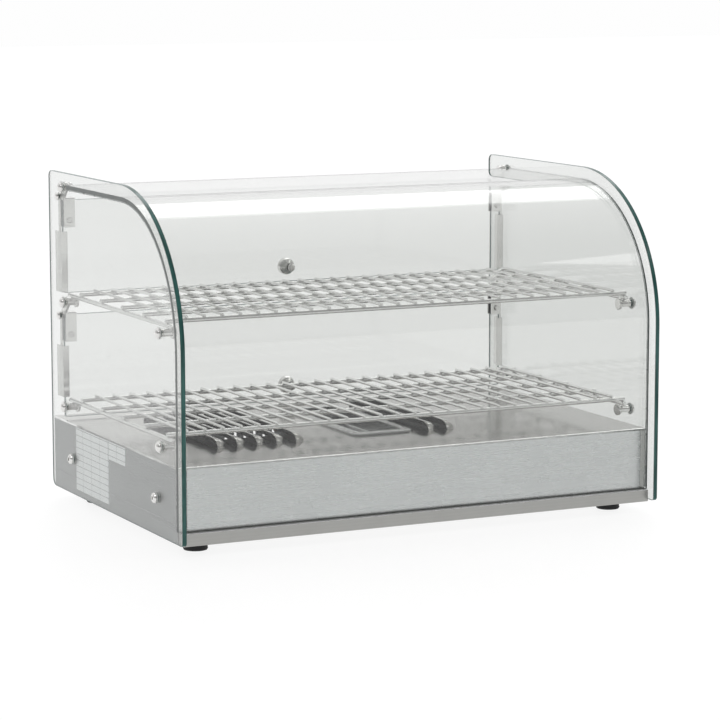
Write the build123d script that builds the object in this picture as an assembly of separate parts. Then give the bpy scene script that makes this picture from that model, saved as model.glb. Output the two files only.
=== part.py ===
from build123d import *
import math
import os

# Hot food display case with curved front glass, two wire shelves and two rear flaps.
#
# Places are given in the case's own terms, in millimetres:
#   x  from the middle of the width, positive to the right of a customer at the front
#   d  depth, from the front edge of the side glasses towards the back
#   h  height, from the lower edge of the side glasses
# The origin of the finished parts is the middle of the case's outer box, at the surface
# that the feet stand on. Every part is moved there when it is written.

# ---- Overall ----
CASE_WIDTH = 560.0
CASE_DEPTH = 380.0
GLASS_HEIGHT = 354.0
FOOT_HEIGHT = 13.5
KNOB_REACH = 20.0          # the knob stands this far behind the side glasses

# ---- Glass ----
GLASS = 5.0                # thickness of every pane
SIDE_BEND = 163.0          # radius of the side glass outline at the front
GLASS_INSET = 13.0         # front glass surface inside the side glass outline
FRONT_GLASS_END = 328.0    # depth of its upper rear edge
GLASS_ARRIS = 0.3          # ground edges

# ---- Base box ----
SHEET = 1.0
WASHER_GAP = 1.0           # between side glass and base
BASE_FRONT = 18.5
BASE_REAR = 379.0
BASE_BOTTOM = -2.0
BASE_TOP = 78.5
HEM = 2.4                  # turned edge of the deck
FLANGE = 12.0
FRONT_FLANGE = 6.0         # side panel's flange that shows beside the front panel
SEAM = 0.3
LEDGE_FRONT = 9.0
LEDGE_TOP = 12.0

# ---- Deck louvres and water pan ----
LOUVRE_PITCH = 22.6
LOUVRE_LEFT_START = -196.6
LOUVRES_LEFT = 5
LOUVRE_RIGHT_START = 52.0
LOUVRES_RIGHT = 2
LOUVRE_FRONT = 119.0       # where the straight part of a hood starts
LOUVRE_BACK = 290.0
LOUVRE_WIDTH = 14.0
LOUVRE_RISE = 9.0
PAN_WIDTH = 72.0
PAN_FRONT = 107.0
PAN_BACK = 297.0
PAN_FLANGE = 10.0
PAN_RIM_TOP = 81.0
PAN_FLOOR = 63.5
REST_GAP = 0.2             # between parts that only rest on each other

# ---- Shelf pins, shelves ----
UPPER_PIN = 211.0          # heights of the shelf pins
LOWER_PIN = 94.0
FRONT_PIN = 57.0           # depths of the shelf pins
REAR_PIN = 338.0
TOP_PIN = 338.0            # height of the upper flap's own pivot pins
PIN_DIAMETER = 8.0
PIN_END = 260.0            # inner end of a shelf pin, from the middle
BOLT_WASHER = 0.8          # soft washer between a bolt's head and the glass
RAIL_DIAMETER = 5.0
RAIL_X = 267.0
RAIL_FRONT = 50.0
RAIL_BACK = 344.0
CROSS_FRONT = 56.0
CROSS_BACK = 303.0
CROSS_RODS = 5
WIRE_DIAMETER = 3.0
WIRE_PITCH = 20.15
WIRES = 26
WELD = 0.3                 # a wire sinks this far into the rod below it

# ---- Rear flaps: distances behind and below the pivot ----
FLAP_FACE = 9.0            # front face of the flap glass behind the pivot
FLAP_TOP = 15.0            # top edge of the glass below the pivot
UPPER_FLAP_BOTTOM = 118.0
LOWER_FLAP_BOTTOM = 130.0
FLAP_HALF_WIDTH = 272.0
CLAMP_INNER = 259.5
CLAMP_TOP = 12.0
CLAMP_BOTTOM = 45.0
CLAMP_WALL = 2.0
PAD = 2.0
CLAMP_SCREW_DROP = 37.0
EYE_RADIUS = 6.0
EYE_BORE = 8.16
EYE_INNER = 270.4
EYE_OUTER = 273.2
HANDLE_UP = 16.0           # handle above the flap's lower edge

# ---- Angle strips that the flaps close against ----
STRIP_SHEET = 1.5
STRIP_DEPTH = 345.0        # front face
STRIP_BACK = 364.0
STRIP_WIDTH = 7.0
STRIP_TOP_DROP = 50.0      # strip starts this far below the pivot
STRIP_FOOT_RISE = 10.0     # and ends this far above the next pin down
KEEPER_BACK = 13.0         # small screw behind each pivot
KEEPER_DROPS = {TOP_PIN: 11.0, UPPER_PIN: 16.0}

# ---- Side screws, feet, labels ----
SIDE_SCREWS = [(70.0, 39.0), (317.0, 39.0)]
FOOT_X = 246.0
FOOT_DEPTHS = [47.5, 328.0]
FOOT_RADIUS = 13.0

# ---- Electrics ----
DIVIDER_X = 100.0
CONTROL_HEIGHT = 38.0
KNOB_X = 155.0
LAMP_X = 194.0
ROCKER_X = 217.0
GLAND_X = 247.0
ELEMENT_DIAMETER = 6.6
ELEMENT_HEIGHT = 45.0
ELEMENT_LEGS = [115.0, 165.0, 215.0, 265.0]
SHIELD_HEIGHT = 30.0
BULB_HALF = 40.0
BULB_DEPTH = 310.0
BULB_HEIGHT = 56.0
BULB_DIAMETER = 6.0
BODY_BACK = 374.0          # rear face of the thermostat's body
ROCKER_TILT = 8.0          # degrees tipped to off
GLAND_BORE = 8.0
EARTH_PLACE = (250.0, 60.0)

# ---- Worked out ----
HALF = CASE_WIDTH / 2
GLASS_INNER = HALF - GLASS
BASE_HALF = GLASS_INNER - WASHER_GAP
PANEL_TOP = BASE_TOP - HEM
TRAY_TOP = BASE_BOTTOM + SHEET
FRONT_Y = -(CASE_DEPTH + KNOB_REACH) / 2
SIDES = (-1, 1)


# ---- Small helpers ----
def block(x0, x1, d0, d1, h0, h1):
    """A box between two corners, given in any order."""
    centre = Pos((x0 + x1) / 2, (d0 + d1) / 2, (h0 + h1) / 2)
    return centre * Box(abs(x1 - x0), abs(d1 - d0), abs(h1 - h0))


def rod(start, end, diameter, bevel=0.0):
    """A round bar from one point to another."""
    a = Vector(*start)
    b = Vector(*end)
    bar = Cylinder(diameter / 2, (b - a).length, align=(Align.CENTER, Align.CENTER, Align.MIN))
    if bevel:
        bar = chamfer(bar.edges().filter_by(GeomType.CIRCLE), bevel)
    return Plane(origin=a, z_dir=b - a) * bar


def ring(start, end, outer, inner):
    """A washer or bush: a bar with a hole right through."""
    return rod(start, end, outer) - rod(start, end, inner)


def turned(points, origin, direction):
    """A turned solid from half its section, as (radius, distance along the axis)."""
    section = Plane.XZ * make_face(Polyline(*points, close=True))
    return Plane(origin=origin, z_dir=direction) * revolve(section, Axis.Z, 360)


def rounded_plate(x0, x1, d0, d1, h0, h1, radius):
    """An upright block with rounded corners seen from above."""
    outline = Pos((x0 + x1) / 2, (d0 + d1) / 2, h0) * RectangleRounded(x1 - x0, d1 - d0, radius)
    return extrude(outline, h1 - h0)


def group(solids):
    """Separate identical pieces kept in one node."""
    return Compound(children=list(solids))


def save(name, part):
    """Move each solid of a finished part to the case's origin, and write them as one node."""
    placed = [Pos(0, FRONT_Y, FOOT_HEIGHT) * solid for solid in part.solids()]
    export_step(Compound(children=placed), "parts/" + name + ".step")


# ---- Side glasses ----
def glass_holes(side):
    """Holes through one side glass: pivots and shelf pins, keeper screws, base screws."""
    holes = []
    inner = side * (GLASS_INNER - 1)
    outer = side * (HALF + 1)
    for d, h in bolt_places():
        holes.append(rod((inner, d, h), (outer, d, h), 7.0))
    for h in (TOP_PIN, UPPER_PIN):
        d, keeper = keeper_place(h)
        holes.append(rod((inner, d, keeper), (outer, d, keeper), 5.0))
    for d, h in SIDE_SCREWS:
        holes.append(rod((inner, d, h), (outer, d, h), 8.0))
    return holes


def side_glass(side):
    """Flat pane: upright front edge, one large bend, flat top, small corners elsewhere."""
    corners = [(0.0, 0.0), (0.0, GLASS_HEIGHT), (CASE_DEPTH, GLASS_HEIGHT), (CASE_DEPTH, 0.0)]
    radii = [4.0, SIDE_BEND, 7.0, 9.0]
    outline = FilletPolyline(*corners, radius=radii, close=True)
    pane = extrude(make_face(Plane.YZ * outline), GLASS, dir=(1, 0, 0))
    broad = [pane.faces().sort_by(Axis.X)[0], pane.faces().sort_by(Axis.X)[-1]]
    pane = chamfer(broad[0].outer_wire().edges() + broad[1].outer_wire().edges(), GLASS_ARRIS)
    left_face = GLASS_INNER if side > 0 else -HALF
    pane = Pos(left_face, 0, 0) * pane
    for hole in glass_holes(side):
        pane -= hole
    return pane


# ---- Front glass ----
def front_glass():
    """One bent pane: up from the ledge, round the bend, then flat to its rear edge."""
    outer_top = GLASS_HEIGHT - GLASS_INSET
    inner_top = outer_top - GLASS
    outer = FilletPolyline(
        (GLASS_INSET, LEDGE_TOP), (GLASS_INSET, outer_top), (FRONT_GLASS_END, outer_top),
        radius=SIDE_BEND - GLASS_INSET)
    inner = FilletPolyline(
        (GLASS_INSET + GLASS, LEDGE_TOP), (GLASS_INSET + GLASS, inner_top),
        (FRONT_GLASS_END, inner_top), radius=SIDE_BEND - GLASS_INSET - GLASS)
    foot = Line((GLASS_INSET, LEDGE_TOP), (GLASS_INSET + GLASS, LEDGE_TOP))
    edge = Line((FRONT_GLASS_END, outer_top), (FRONT_GLASS_END, inner_top))
    section = make_face(Plane.YZ * (outer + edge + inner + foot))
    return Pos(-GLASS_INNER, 0, 0) * extrude(section, 2 * GLASS_INNER, dir=(1, 0, 0))


# ---- Base box ----
def bottom_tray():
    """Bottom plate with the boxed ledge that the front glass stands on."""
    bottom = BASE_BOTTOM
    tray = block(-BASE_HALF, BASE_HALF, LEDGE_FRONT, BASE_REAR, bottom, TRAY_TOP)
    tray += block(-BASE_HALF, BASE_HALF, LEDGE_FRONT, LEDGE_FRONT + SHEET, bottom, LEDGE_TOP)
    tray += block(-BASE_HALF, BASE_HALF, LEDGE_FRONT, BASE_FRONT, LEDGE_TOP - SHEET, LEDGE_TOP)
    tray += block(-BASE_HALF, BASE_HALF, BASE_FRONT - SHEET, BASE_FRONT, bottom, LEDGE_TOP)
    for side in SIDES:
        tray += block(side * BASE_HALF, side * (BASE_HALF - SHEET), LEDGE_FRONT, LEDGE_FRONT + 6,
                      bottom, LEDGE_TOP)
    bend = tray.edges().filter_by(Axis.X).filter_by_position(Axis.Y, LEDGE_FRONT, LEDGE_FRONT + 0.01)
    tray = fillet(bend, 0.9)
    for x in (-FOOT_X, FOOT_X):
        for d in FOOT_DEPTHS:
            tray -= rod((x, d, bottom - 1), (x, d, TRAY_TOP + 1), 4.0)
    for slot in range(8):
        x = 130 + slot * 14
        tray -= rounded_plate(x - 1.5, x + 1.5, 120, 170, bottom - 1, TRAY_TOP + 1, 1.4)
    x, d = EARTH_PLACE
    return tray - rod((x, d, bottom - 1), (x, d, TRAY_TOP + 1), 4.0)


def front_panel():
    """Panel between the side panels' front flanges, with flanges along its top and foot."""
    half = BASE_HALF - FRONT_FLANGE - SEAM
    inner = BASE_FRONT + SHEET
    panel = block(-half, half, BASE_FRONT, inner, TRAY_TOP, PANEL_TOP)
    panel += block(-half + FLANGE, half - FLANGE, inner, inner + FLANGE, PANEL_TOP - SHEET, PANEL_TOP)
    panel += block(-half + FLANGE, half - FLANGE, inner, inner + FLANGE, TRAY_TOP, TRAY_TOP + SHEET)
    return panel


def side_panel(side):
    """Side of the base, with a narrow flange at the front and flanges on the other edges."""
    outer = side * BASE_HALF
    inner = side * (BASE_HALF - SHEET)
    rear = BASE_REAR - SHEET
    flange = side * (BASE_HALF - FRONT_FLANGE)
    panel = block(outer, inner, BASE_FRONT, rear, TRAY_TOP, PANEL_TOP)
    panel += block(outer, flange, BASE_FRONT, BASE_FRONT + SHEET, TRAY_TOP, PANEL_TOP)
    panel += block(outer, flange, rear - SHEET, rear, TRAY_TOP, PANEL_TOP)
    for h in (TRAY_TOP, PANEL_TOP - SHEET):
        panel += block(inner, side * (BASE_HALF - FLANGE), BASE_FRONT + 3, rear - 3, h, h + SHEET)
    corner = panel.edges().filter_by(Axis.Z).sort_by(Axis.Y)
    front_corner = [edge for edge in corner if abs(abs(edge.center().X) - BASE_HALF) < 0.01][0]
    panel = fillet(front_corner, 0.8)
    for d, h in SIDE_SCREWS:
        panel -= rod((outer + side, d, h), (inner - side, d, h), 6.4)
    for x, h in rear_screw_places():
        if x * side > 0:
            panel -= rod((x, rear - 3, h), (x, rear + 1, h), 4.2)
    return panel


def rear_panel():
    """Operator side of the base, with the cut-outs for the controls and two rows of vents."""
    front = BASE_REAR - SHEET
    panel = block(-BASE_HALF, BASE_HALF, front, BASE_REAR, TRAY_TOP, PANEL_TOP)
    through = (front - 1, BASE_REAR + 1)
    h = CONTROL_HEIGHT
    panel -= rod((KNOB_X, through[0], h), (KNOB_X, through[1], h), 10.4)
    panel -= rod((LAMP_X, through[0], h), (LAMP_X, through[1], h), 9.2)
    panel -= rod((GLAND_X, through[0], h), (GLAND_X, through[1], h), 16.2)
    panel -= block(ROCKER_X - 6.6, ROCKER_X + 6.6, through[0], through[1], h - 9.6, h + 9.6)
    for column in range(12):
        x = -70 + column * 12
        panel -= block(x - 1.5, x + 1.5, through[0], through[1], 26, 50)
    for x, height in rear_screw_places():
        panel -= rod((x, through[0], height), (x, through[1], height), 4.2)
    return panel


def rear_screw_places():
    """Screws along the ends of the rear panel."""
    return [(side * 269.5, h) for side in SIDES for h in (12.0, 37.0, 62.0)]


# ---- Deck ----
def hood(x, shrink, foot):
    """Half of a long dome: straight middle, quarter-round ends, open towards smaller x."""
    width = LOUVRE_WIDTH - shrink
    rise = LOUVRE_RISE - shrink
    base = BASE_TOP
    arc = EllipticalCenterArc((0, base), width, rise, 0, arc_size=90)
    sides = Polyline((0, base + rise), (0, foot), (width, foot), (width, base))
    section = make_face(Plane.XZ * (arc + sides))
    middle = Pos(x, LOUVRE_FRONT, 0) * extrude(section, LOUVRE_BACK - LOUVRE_FRONT, dir=(0, 1, 0))
    front_end = Pos(x, LOUVRE_FRONT, 0) * revolve(section, Axis.Z, -90)
    back_end = Pos(x, LOUVRE_BACK, 0) * revolve(section, Axis.Z, 90)
    return middle + front_end + back_end


def louvre_places():
    """The open edges of the louvres, across the width."""
    left = [LOUVRE_LEFT_START + i * LOUVRE_PITCH for i in range(LOUVRES_LEFT)]
    right = [LOUVRE_RIGHT_START + i * LOUVRE_PITCH for i in range(LOUVRES_RIGHT)]
    return left + right


def deck_plate():
    """Top sheet of the base with a turned edge, raised louvres and the pan's opening."""
    deck = block(-BASE_HALF, BASE_HALF, BASE_FRONT, BASE_REAR, PANEL_TOP, BASE_TOP)
    deck -= block(-BASE_HALF + SHEET, BASE_HALF - SHEET, BASE_FRONT + SHEET, BASE_REAR - SHEET,
                  PANEL_TOP, BASE_TOP - SHEET)
    rim = deck.edges().filter_by_position(Axis.Z, BASE_TOP - 0.01, BASE_TOP + 0.01)
    deck = fillet(rim, 0.9)
    for x in louvre_places():
        deck += hood(x, 0.0, BASE_TOP - SHEET)
        deck -= hood(x, SHEET, BASE_TOP - SHEET)
    half = PAN_WIDTH / 2 - PAN_FLANGE + 2.5
    reach = PAN_FLANGE - 2.5
    deck -= rounded_plate(-half, half, PAN_FRONT + reach, PAN_BACK - reach, PANEL_TOP, BASE_TOP + 1, 8.0)
    return deck


def water_pan():
    """Shallow pan that hangs in the deck by a flat flange with a turned-down lip."""
    half = PAN_WIDTH / 2
    lip = rounded_plate(-half, half, PAN_FRONT, PAN_BACK, BASE_TOP + REST_GAP, PAN_RIM_TOP, 9.0)
    top_edges = lip.edges().filter_by_position(Axis.Z, PAN_RIM_TOP - 0.01, PAN_RIM_TOP + 0.01)
    lip = fillet(top_edges, 1.4)
    under = rounded_plate(-half + SHEET, half - SHEET, PAN_FRONT + SHEET, PAN_BACK - SHEET,
                          BASE_TOP, PAN_RIM_TOP - SHEET, 8.0)
    inner = half - PAN_FLANGE
    tub_outer = rounded_plate(-inner - SHEET, inner + SHEET, PAN_FRONT + PAN_FLANGE - SHEET,
                              PAN_BACK - PAN_FLANGE + SHEET, PAN_FLOOR, PAN_RIM_TOP - SHEET / 2, 7.0)
    tub_floor = tub_outer.edges().filter_by_position(Axis.Z, PAN_FLOOR - 0.01, PAN_FLOOR + 0.01)
    tub_outer = fillet(tub_floor, 3.0)
    tub_inner = rounded_plate(-inner, inner, PAN_FRONT + PAN_FLANGE, PAN_BACK - PAN_FLANGE,
                              PAN_FLOOR + SHEET, PAN_RIM_TOP + 1, 6.0)
    inner_floor = tub_inner.edges().filter_by_position(
        Axis.Z, PAN_FLOOR + SHEET - 0.01, PAN_FLOOR + SHEET + 0.01)
    tub_inner = fillet(inner_floor, 2.0)
    return (lip - under) + tub_outer - tub_inner


# ---- Bolts and pins through the side glasses ----
def bolt_places():
    """Depth and height of every domed bolt in one side glass."""
    shelves = [(d, h) for h in (UPPER_PIN, LOWER_PIN) for d in (FRONT_PIN, REAR_PIN)]
    return shelves + [(REAR_PIN, TOP_PIN)]


def domed_bolt(side, d, h):
    """Bolt with a washer face and a domed head outside, and a shank into the pin."""
    collar = BOLT_WASHER + 1.0
    profile = [(0, -13), (2.5, -13), (2.5, BOLT_WASHER), (6.0, BOLT_WASHER), (6.0, collar)]
    for step in range(9):
        angle = math.radians(step * 10)
        profile.append((5.3 * math.cos(angle), collar + 3.2 * math.sin(angle)))
    profile.append((0, collar + 3.2))
    return turned(profile, (side * HALF, d, h), (side, 0, 0))


def soft_washer(side, d, h, outer, inner, start, end):
    """Ring that keeps metal off the glass, between two distances from the middle."""
    return ring((side * start, d, h), (side * end, d, h), outer, inner)


def shelf_pin(side, d, h, end, flange):
    """Pin inside the glass, bored for its bolt, with a flange that keeps the rail on it."""
    shank = rod((side * GLASS_INNER, d, h), (side * end, d, h), PIN_DIAMETER)
    disc = rod((side * end, d, h), (side * (end + 3), d, h), flange, 0.6)
    bore = rod((side * (GLASS_INNER + 1), d, h), (side * (HALF - 13), d, h), 5.0)
    return shank + disc - bore


def keeper_place(pivot):
    """Depth and height of the small screw behind and below a pivot."""
    return REAR_PIN + KEEPER_BACK, pivot - KEEPER_DROPS[pivot]


def keeper_screw(side, pivot):
    """Small domed screw that holds the top tab of an angle strip."""
    profile = [(0, -GLASS - STRIP_SHEET), (2.0, -GLASS - STRIP_SHEET), (2.0, 0.4), (4.6, 0.4),
               (4.6, 1.2), (3.6, 2.6), (1.6, 3.2), (0, 3.2)]
    d, h = keeper_place(pivot)
    return turned(profile, (side * HALF, d, h), (side, 0, 0))


def base_screw(side, d, h):
    """Button-head screw with a hexagon socket, through glass and side panel."""
    reach = HALF - BASE_HALF + 7
    profile = [(0, -reach), (3.0, -reach), (3.0, 1.0), (5.6, 1.0), (5.6, 2.0), (4.9, 3.4),
               (3.4, 4.3), (0, 4.3)]
    screw = turned(profile, (side * HALF, d, h), (side, 0, 0))
    socket = extrude(RegularPolygon(2.3, 6), 3.0)
    return screw - Plane(origin=(side * (HALF + 2.0), d, h), z_dir=(side, 0, 0)) * socket


def hex_nut(origin, direction, width, thickness, bore):
    """A hexagon nut across its flats, standing on origin."""
    nut = extrude(RegularPolygon(width / 2, 6, major_radius=False), thickness)
    nut -= Cylinder(bore / 2, thickness, align=(Align.CENTER, Align.CENTER, Align.MIN))
    return Plane(origin=origin, z_dir=direction) * nut


# ---- Shelves ----
def shelf_rail(side, pin_height):
    """Rod that runs front to back and rests on two pins."""
    h = rail_height(pin_height)
    return rod((side * RAIL_X, RAIL_FRONT, h), (side * RAIL_X, RAIL_BACK, h), RAIL_DIAMETER, 1.0)


def rail_height(pin_height):
    """Middle of a shelf's side rail above its pins."""
    return pin_height + PIN_DIAMETER / 2 + 0.3 + RAIL_DIAMETER / 2


def shelf_grid(pin_height):
    """Cross rods laid on the side rails, and thin wires welded on the cross rods."""
    rod_h = rail_height(pin_height) + RAIL_DIAMETER
    wire_h = rod_h + RAIL_DIAMETER / 2 + WIRE_DIAMETER / 2 - WELD
    spacing = (CROSS_BACK - CROSS_FRONT) / (CROSS_RODS - 1)
    bars = []
    for i in range(CROSS_RODS):
        d = CROSS_FRONT + i * spacing
        bars.append(rod((-RAIL_X - 3, d, rod_h), (RAIL_X + 3, d, rod_h), RAIL_DIAMETER, 1.0))
    first = -WIRE_PITCH * (WIRES - 1) / 2
    front = CROSS_FRONT - RAIL_DIAMETER / 2
    back = CROSS_BACK + RAIL_DIAMETER / 2
    for i in range(WIRES):
        x = first + i * WIRE_PITCH
        bars.append(rod((x, front, wire_h), (x, back, wire_h), WIRE_DIAMETER, 0.5))
    return bars[0].fuse(*bars[1:])


# ---- Rear flaps ----
def flap_glass(pivot, bottom):
    """Flat pane of a flap, with the holes for the handle and the clamp screws' tips."""
    face = REAR_PIN + FLAP_FACE
    pane = block(-FLAP_HALF_WIDTH, FLAP_HALF_WIDTH, face, face + GLASS, pivot - bottom, pivot - FLAP_TOP)
    corners = pane.edges().filter_by(Axis.Y)
    pane = fillet(corners, 2.0)
    pane = chamfer(pane.faces().sort_by(Axis.Y)[0].edges() + pane.faces().sort_by(Axis.Y)[-1].edges(), 0.4)
    h = pivot - bottom + HANDLE_UP
    return pane - rod((0, face - 1, h), (0, face + GLASS + 1, h), 5.0)


def flap_clamp(side, pivot):
    """U-shaped clamp over the flap's top corner, hung from the pin by an eye on a web."""
    front = REAR_PIN + FLAP_FACE - PAD - CLAMP_WALL
    back = REAR_PIN + FLAP_FACE + GLASS + PAD + CLAMP_WALL
    outer = side * FLAP_HALF_WIDTH
    inner = side * CLAMP_INNER
    top = pivot - CLAMP_TOP
    foot = pivot - CLAMP_BOTTOM
    clamp = block(outer, inner, front, back, foot, top)
    clamp = fillet(clamp.edges().filter_by(Axis.X).filter_by_position(Axis.Z, top - 0.1, top + 0.1), 1.5)
    clamp -= block(outer + side, inner - side, front + CLAMP_WALL, back - CLAMP_WALL,
                   foot - 1, pivot - FLAP_TOP)
    web_points = [(front, top - 0.5), (REAR_PIN - 5.2, pivot - 3), (REAR_PIN + 4.2, pivot + 4.2),
                  (back - 1.0, top - 0.5)]
    web_face = make_face(Plane.YZ * Polyline(*web_points, close=True))
    web = extrude(web_face, EYE_OUTER - EYE_INNER, dir=(side, 0, 0))
    web = Pos(side * EYE_INNER, 0, 0) * web
    eye = rod((side * EYE_INNER, REAR_PIN, pivot), (side * EYE_OUTER, REAR_PIN, pivot), 2 * EYE_RADIUS)
    bore = rod((side * (EYE_INNER - 1), REAR_PIN, pivot), (side * (EYE_OUTER + 1), REAR_PIN, pivot), EYE_BORE)
    clamp = clamp + web + eye - bore
    x, h = clamp_screw_place(side, pivot)
    return clamp - rod((x, front - 1, h), (x, front + CLAMP_WALL + 1, h), 3.0)


def clamp_screw_place(side, pivot):
    """Middle of the clamp plate, near its lower end."""
    return side * (FLAP_HALF_WIDTH + CLAMP_INNER) / 2, pivot - CLAMP_SCREW_DROP


def clamp_pads(side, pivot):
    """Two rubber pads between the clamp's walls and the glass."""
    outer = side * FLAP_HALF_WIDTH
    inner = side * CLAMP_INNER
    face = REAR_PIN + FLAP_FACE
    x, h = clamp_screw_place(side, pivot)
    pads = []
    for start in (face - PAD, face + GLASS):
        pad = block(outer, inner, start, start + PAD, pivot - CLAMP_BOTTOM + 0.6, pivot - FLAP_TOP)
        pads.append(pad - rod((x, start - 1, h), (x, start + PAD + 1, h), 3.0))
    return pads


def clamp_screw(side, pivot):
    """Screw with a low round head that presses the glass against the rear pad."""
    x, h = clamp_screw_place(side, pivot)
    face = REAR_PIN + FLAP_FACE
    reach = PAD + CLAMP_WALL
    profile = [(0, -reach), (1.5, -reach), (1.5, 0), (3.4, 0), (3.2, 1.2), (2.0, 2.0), (0, 2.0)]
    screw = turned(profile, (x, face - reach, h), (0, -1, 0))
    return screw - block(x - 2.4, x + 2.4, face - reach - 3, face - reach - 1.2, h - 0.4, h + 0.4)


def flap_handle(pivot, bottom):
    """Turned knob behind the flap, low in the middle."""
    profile = [(0, 0), (5.0, 0), (5.0, 1.0), (3.8, 2.5), (3.8, 6.0), (9.0, 9.0), (10.0, 11.0),
               (10.0, 14.0), (8.6, 16.0), (0, 16.6)]
    origin = (0, REAR_PIN + FLAP_FACE + GLASS, pivot - bottom + HANDLE_UP)
    knob = turned(profile, origin, (0, 1, 0))
    return knob - rod(origin, (0, origin[1] + 6, origin[2]), 4.0)


def handle_screw(pivot, bottom):
    """Screw through the flap glass into the handle."""
    profile = [(0, -11), (2.0, -11), (2.0, 0), (4.5, 0), (4.2, 1.0), (2.6, 1.8), (0, 1.8)]
    return turned(profile, (0, REAR_PIN + FLAP_FACE, pivot - bottom + HANDLE_UP), (0, -1, 0))


# ---- Angle strips ----
def angle_strip(side, pivot, pin_below):
    """Bright angle on the side glass, with a narrow tab up to its keeper screw."""
    glass = side * GLASS_INNER
    top = pivot - STRIP_TOP_DROP
    foot = pin_below + STRIP_FOOT_RISE
    strip = block(glass, side * (GLASS_INNER - STRIP_SHEET), STRIP_DEPTH, STRIP_BACK, foot, top)
    strip += block(glass, side * (GLASS_INNER - STRIP_WIDTH), STRIP_DEPTH, STRIP_DEPTH + STRIP_SHEET, foot, top)
    middle, keeper = keeper_place(pivot)
    inner = side * (GLASS_INNER - STRIP_SHEET)
    strip += block(glass, inner, middle - 2, middle + 2, top - 1, keeper)
    strip += rod((glass, middle, keeper), (inner, middle, keeper), 9.0)
    return strip - rod((glass + side, middle, keeper), (inner - side, middle, keeper), 4.0)


# ---- Feet ----
def foot_places():
    """Middle of each foot."""
    return [(x, d) for x in (-FOOT_X, FOOT_X) for d in FOOT_DEPTHS]


def foot(x, d):
    """Rubber foot, slightly tapered, hollow in the middle for its screw."""
    drop = FOOT_HEIGHT + BASE_BOTTOM
    profile = [(2.2, 0), (11.5, 0), (FOOT_RADIUS - 0.3, 2.5 - drop), (FOOT_RADIUS, 1.5 - drop),
               (FOOT_RADIUS - 0.8, -drop), (6.0, -drop), (6.0, -5), (2.2, -5)]
    return turned(profile, (x, d, BASE_BOTTOM), (0, 0, 1))


def foot_screw(x, d):
    """Pan-head screw inside a foot."""
    profile = [(0, 7), (2.0, 7), (2.0, -5), (4.2, -5), (4.0, -7.0), (2.6, -7.8), (0, -7.8)]
    return turned(profile, (x, d, BASE_BOTTOM), (0, 0, 1))


# ---- Heater ----
def element_path():
    """Serpentine of four long legs, both ends passing into the electrics bay."""
    left = -232.0
    right = 62.0
    start = DIVIDER_X + 18
    points = [(start, ELEMENT_LEGS[0]), (left, ELEMENT_LEGS[0]), (left, ELEMENT_LEGS[1]),
              (right, ELEMENT_LEGS[1]), (right, ELEMENT_LEGS[2]), (left, ELEMENT_LEGS[2]),
              (left, ELEMENT_LEGS[3]), (start, ELEMENT_LEGS[3])]
    return FilletPolyline(*[(x, d, ELEMENT_HEIGHT) for x, d in points], radius=23.0)


def heating_element():
    """Tubular heater bent to shape, with a thin terminal pin at each end."""
    path = element_path()
    tube = sweep(Plane(origin=path @ 0, z_dir=path % 0) * Circle(ELEMENT_DIAMETER / 2), path=path)
    end = DIVIDER_X + 18
    for d in (ELEMENT_LEGS[0], ELEMENT_LEGS[3]):
        tube += rod((end - 2, d, ELEMENT_HEIGHT), (end + 14, d, ELEMENT_HEIGHT), 3.0)
    return tube


def element_bracket(x):
    """Upright strip that carries all four legs of the heater."""
    strip = block(x - 1, x + 1, 95, 285, SHIELD_HEIGHT + SHEET, 53)
    for d in ELEMENT_LEGS:
        strip -= rod((x - 2, d, ELEMENT_HEIGHT), (x + 2, d, ELEMENT_HEIGHT), ELEMENT_DIAMETER)
    return strip


def heat_shield():
    """Tray below the heater on four folded legs, with two uprights that hold the sensing bulb."""
    left, right, front, back = -255.0, 88.0, 45.0, 355.0
    tray = block(left, right, front, back, SHIELD_HEIGHT, SHIELD_HEIGHT + 10)
    tray -= block(left + SHEET, right - SHEET, front + SHEET, back - SHEET, SHIELD_HEIGHT + SHEET,
                  SHIELD_HEIGHT + 11)
    for x in (-225, 60):
        for d in (75, 325):
            tray += block(x - 8, x + 8, d, d + SHEET, TRAY_TOP, SHIELD_HEIGHT + 0.5)
            tray += block(x - 8, x + 8, d, d + 12, TRAY_TOP, TRAY_TOP + SHEET)
    for x in (-BULB_HALF + 12, BULB_HALF - 12):
        tray += block(x - 1, x + 1, BULB_DEPTH - 5, BULB_DEPTH + 5, SHIELD_HEIGHT, BULB_HEIGHT + 4.5)
        tray -= rod((x - 3, BULB_DEPTH, BULB_HEIGHT), (x + 3, BULB_DEPTH, BULB_HEIGHT), BULB_DIAMETER)
    return tray


def bay_divider():
    """Wall between the heater and the electrics, with holes for the heater's ends."""
    wall = block(DIVIDER_X, DIVIDER_X + SHEET, 40, 372, TRAY_TOP, PANEL_TOP - 2)
    wall += block(DIVIDER_X + SHEET, DIVIDER_X + 11, 40, 372, TRAY_TOP, TRAY_TOP + SHEET)
    for d in (ELEMENT_LEGS[0], ELEMENT_LEGS[3]):
        wall -= rod((DIVIDER_X - 1, d, ELEMENT_HEIGHT), (DIVIDER_X + 2, d, ELEMENT_HEIGHT), ELEMENT_DIAMETER)
    tube_hole = (DIVIDER_X - 1, BULB_DEPTH, BULB_HEIGHT)
    return wall - rod(tube_hole, (DIVIDER_X + 2, BULB_DEPTH, BULB_HEIGHT), 3.0)


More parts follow.
